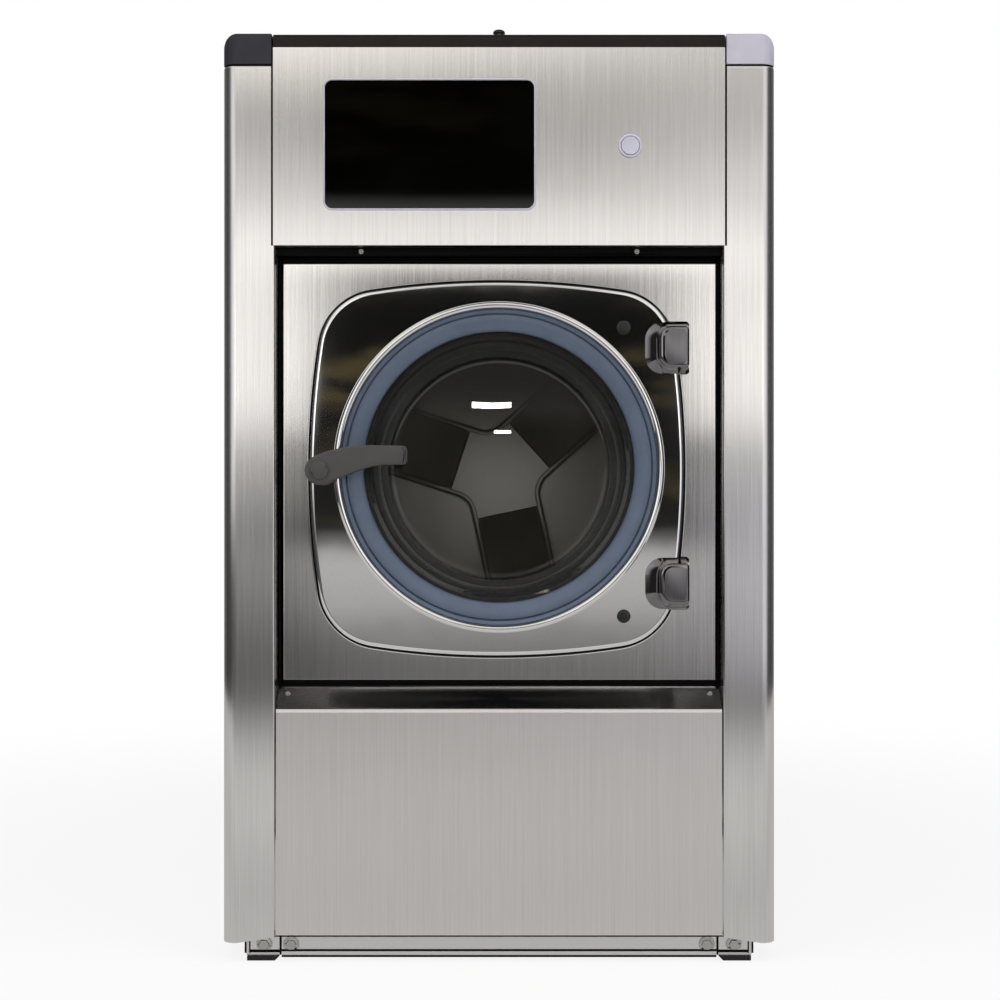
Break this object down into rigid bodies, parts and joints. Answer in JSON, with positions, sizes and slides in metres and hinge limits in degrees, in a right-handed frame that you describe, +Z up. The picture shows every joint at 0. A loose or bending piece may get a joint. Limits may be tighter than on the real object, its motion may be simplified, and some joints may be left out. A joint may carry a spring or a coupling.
{
  "type": "washer-extractor",
  "caption": "Free-standing front-loading washer-extractor in stainless steel, with a round glass door, lever latch, spring-mounted tub and drum, belt drive and top soap hopper.",
  "frame": {"origin": "on the floor at the middle of the footprint, from the front of the lever to the end of the drain outlet", "axes": "+Z up, +X to the right of a person facing the door, -Y out of the door"},
  "size_m": [0.794, 0.957, 1.3518],
  "materials": {
    "column_steel": "brushed stainless steel, grain running up and down",
    "panel_steel": "brushed stainless steel sheet, fine vertical grain",
    "side_steel": "brushed stainless steel side, top and rear sheets",
    "cap_charcoal": "moulded plastic, fine matt texture",
    "cap_lilac": "moulded plastic, fine matt texture",
    "trim_black": "dark satin moulding",
    "black_strip": "ribbed black rubber and black painted sheet",
    "base_steel": "plated structural steel, slightly dull",
    "fastener_steel": "zinc plated bolts and washers",
    "foot_rubber": "moulded rubber pad",
    "display_black": "black printed glass, glossy",
    "button_lilac": "pale moulded plastic",
    "black_plastic": "black moulded plastic",
    "hopper_plastic": "grey-white polypropylene",
    "valve_plastic": "white glass-filled nylon",
    "box_grey": "grey powder coat",
    "tub_steel": "rolled stainless sheet with weld lines",
    "drum_steel": "polished stainless basket",
    "gasket_rubber": "moulded door gasket",
    "shaft_steel": "ground steel shaft",
    "cast_grey": "painted casting",
    "motor_grey": "painted ribbed motor casing",
    "belt_rubber": "ribbed drive belt",
    "cradle_paint": "grey-blue paint on welded steel",
    "spring_steel": "dark coated spring wire",
    "door_chrome": "polished stainless stamping, mirror bright",
    "door_dark": "black painted aluminium casting, satin",
    "ring_blue_grey": "blue-grey moulded ring",
    "bowl_glass": "thick pressed glass",
    "insert_grey": "brushed grey insert",
    "lever_grey": "dark grey cast lever, fine matt texture"
  },
  "bodies": {
    "cabinet": {"left_column": "column_steel", "right_column": "column_steel", "left_corner_cap": "cap_charcoal", "right_corner_cap": "cap_lilac", "side_panels": "side_steel", "top_cover": "side_steel", "top_trim": "trim_black", "control_panel": "panel_steel", "recess_surround": "black_strip", "lower_panel": "panel_steel", "rear_panel": "side_steel", "cross_rails": "base_steel", "side_rails": "base_steel", "corner_brackets": "base_steel", "base_bolts": "fastener_steel", "foot_pads": "foot_rubber", "panel_screws": "fastener_steel", "display_glass": "display_black", "control_unit": "black_plastic", "button_bezel": "button_lilac", "soap_hopper": "hopper_plastic", "fill_pipe": "black_plastic", "inlet_valves": "valve_plastic", "electrical_box": "box_grey", "cable_gland": "black_plastic", "suspension_springs": "spring_steel", "damper_cylinders": "spring_steel", "drain_pipe": "black_plastic"},
    "suspended_tub": {"front_panel": "panel_steel", "tub_shell": "tub_steel", "tub_front": "tub_steel", "door_gasket": "gasket_rubber", "door_lock": "black_plastic", "hinge_brackets": "cast_grey", "bearing_housing": "cast_grey", "bearings": "shaft_steel", "drive_belt": "belt_rubber", "motor": "motor_grey", "tub_cradle": "cradle_paint", "damper_rods": "shaft_steel", "drain_valve": "black_plastic"},
    "drum_group": {"drum": "drum_steel", "lifters": "drum_steel", "drum_shaft": "shaft_steel", "drum_pulley": "cast_grey"},
    "motor_rotor": {"motor_shaft": "shaft_steel", "motor_pulley": "cast_grey"},
    "door": {"door_plate": "door_chrome", "door_frame": "door_dark", "window_ring": "ring_blue_grey", "glass_bowl": "bowl_glass", "hinge_pins": "shaft_steel", "hinge_inserts": "insert_grey", "door_plugs": "black_plastic"},
    "lever": {"lever_handle": "lever_grey", "lever_cap": "black_plastic", "latch_cam": "shaft_steel"},
    "button": {"start_button": "button_lilac"},
    "lid": {"soap_lid": "side_steel", "lid_knob": "black_plastic"}
  },
  "joints": [
    {"name": "tub_bounce", "type": "slide", "parent": "cabinet", "child": "suspended_tub", "axis": [0, 0, 1], "range_m": [-0.006, 0.006], "stiffness_N_per_m": 60000, "springref_m": 0.0352, "deforming": ["suspension_springs"]},
    {"name": "drum_spin", "type": "hinge", "parent": "suspended_tub", "child": "drum_group", "pos_m": [0, 0, 0.7085], "axis": [0, 1, 0], "continuous": true},
    {"name": "motor_spin", "type": "hinge", "parent": "suspended_tub", "child": "motor_rotor", "pos_m": [0.14, 0.2885, 0.212], "axis": [0, 1, 0], "continuous": true},
    {"name": "door_swing", "type": "hinge", "parent": "suspended_tub", "child": "door", "pos_m": [0.258, -0.4395, 0.7105], "axis": [0, 0, 1], "range_deg": [0, 110]},
    {"name": "lever_turn", "type": "hinge", "parent": "door", "child": "lever", "pos_m": [-0.2533, -0.4455, 0.7037], "axis": [0, 1, 0], "range_deg": [0, 50]},
    {"name": "button_press", "type": "slide", "parent": "cabinet", "child": "button", "axis": [0, 1, 0], "range_m": [0, 0.003], "stiffness_N_per_m": 400},
    {"name": "lid_lift", "type": "hinge", "parent": "cabinet", "child": "lid", "pos_m": [0, -0.1885, 1.338], "axis": [-1, 0, 0], "range_deg": [0, 100]}
  ],
  "couplings": [
    {"joint": "motor_spin", "follows": "drum_spin", "ratio": 5.7143}
  ]
}
